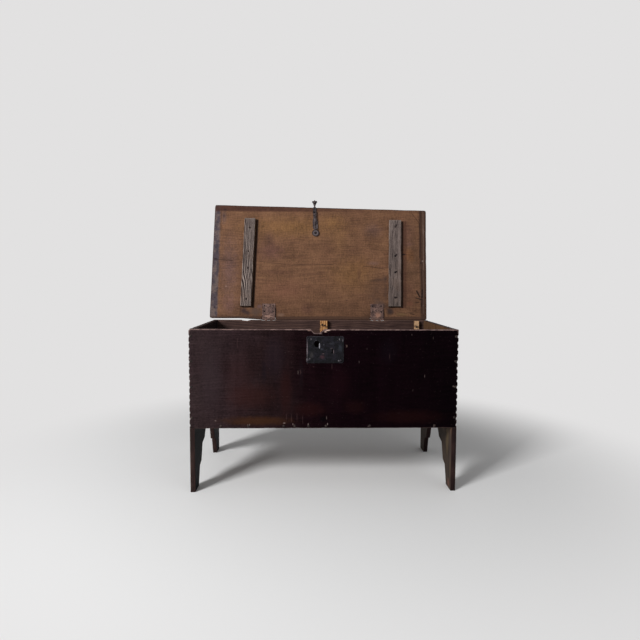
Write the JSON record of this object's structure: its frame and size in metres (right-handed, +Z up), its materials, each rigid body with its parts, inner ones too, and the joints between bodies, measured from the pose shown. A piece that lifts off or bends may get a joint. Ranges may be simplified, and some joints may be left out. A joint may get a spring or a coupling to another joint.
{
  "type": "plank coffer",
  "caption": "Six-board wooden chest with its lid open on iron hinges, stepped feet cut from the end boards, an iron lock plate with a sliding bolt, and a hasp under the lid.",
  "frame": {"origin": "on the floor, at the middle of the open chest's box seen from above", "axes": "+X to the right of someone who faces the chest, -Y out of its front, +Z up"},
  "size_m": [1.0796, 0.6456, 1.2401],
  "materials": {
    "front_wood": "dark brown, worn and waxed",
    "back_wood": "dark brown, dull",
    "end_wood": "brown, worn",
    "bottom_wood": "bare and dusty",
    "batten_wood": "pale and bare",
    "lid_wood": "bare inside, dark and worn outside",
    "cleat_wood": "weathered grey",
    "plate_iron": "dark, hammered",
    "lock_iron": "oily and dark",
    "hinge_iron": "rusty",
    "hasp_iron": "dull, lightly rusted",
    "nail_iron": "rusty"
  },
  "bodies": {
    "chest": {"front_board": "front_wood", "back_board": "back_wood", "left_end_board": "end_wood", "right_end_board": "end_wood", "bottom_board": "bottom_wood", "centre_batten": "batten_wood", "right_batten": "batten_wood", "front_nails": "nail_iron", "back_nails": "nail_iron", "end_nails": "nail_iron", "batten_nails": "nail_iron", "lock_plate": "plate_iron", "lock_plate_nails": "plate_iron", "bolt_keeper": "lock_iron", "bolt_guide": "lock_iron", "bolt_stud": "lock_iron", "lock_spring": "lock_iron", "key_guard": "lock_iron", "left_hinge_back_leaf": "hinge_iron", "right_hinge_back_leaf": "hinge_iron", "left_hinge_pin": "hinge_iron", "right_hinge_pin": "hinge_iron", "hinge_back_nails": "nail_iron"},
    "lid": {"lid_board": "lid_wood", "left_cleat": "cleat_wood", "right_cleat": "cleat_wood", "cleat_nails": "nail_iron", "left_hinge_lid_leaf": "hinge_iron", "right_hinge_lid_leaf": "hinge_iron", "hinge_lid_nails": "nail_iron", "hasp_strap": "hasp_iron", "hasp_strap_nails": "nail_iron", "hasp_pin": "hasp_iron"},
    "hasp": {"hasp_leaf": "hasp_iron", "hasp_staple": "hasp_iron"},
    "bolt": {"lock_bolt": "lock_iron"}
  },
  "joints": [
    {"name": "lid_hinge", "type": "hinge", "parent": "chest", "child": "lid", "pos_m": [0, 0.21639, 0.6485], "axis": [1, 0, 0], "range_deg": [0, 99]},
    {"name": "hasp_hinge", "type": "hinge", "parent": "lid", "child": "hasp", "pos_m": [-0.032, 0.29341, 1.18273], "axis": [1, 0, 0], "range_deg": [0, 90]},
    {"name": "lock_bolt_slide", "type": "slide", "parent": "chest", "child": "bolt", "axis": [-1, 0, 0], "range_m": [0, 0.024]}
  ]
}
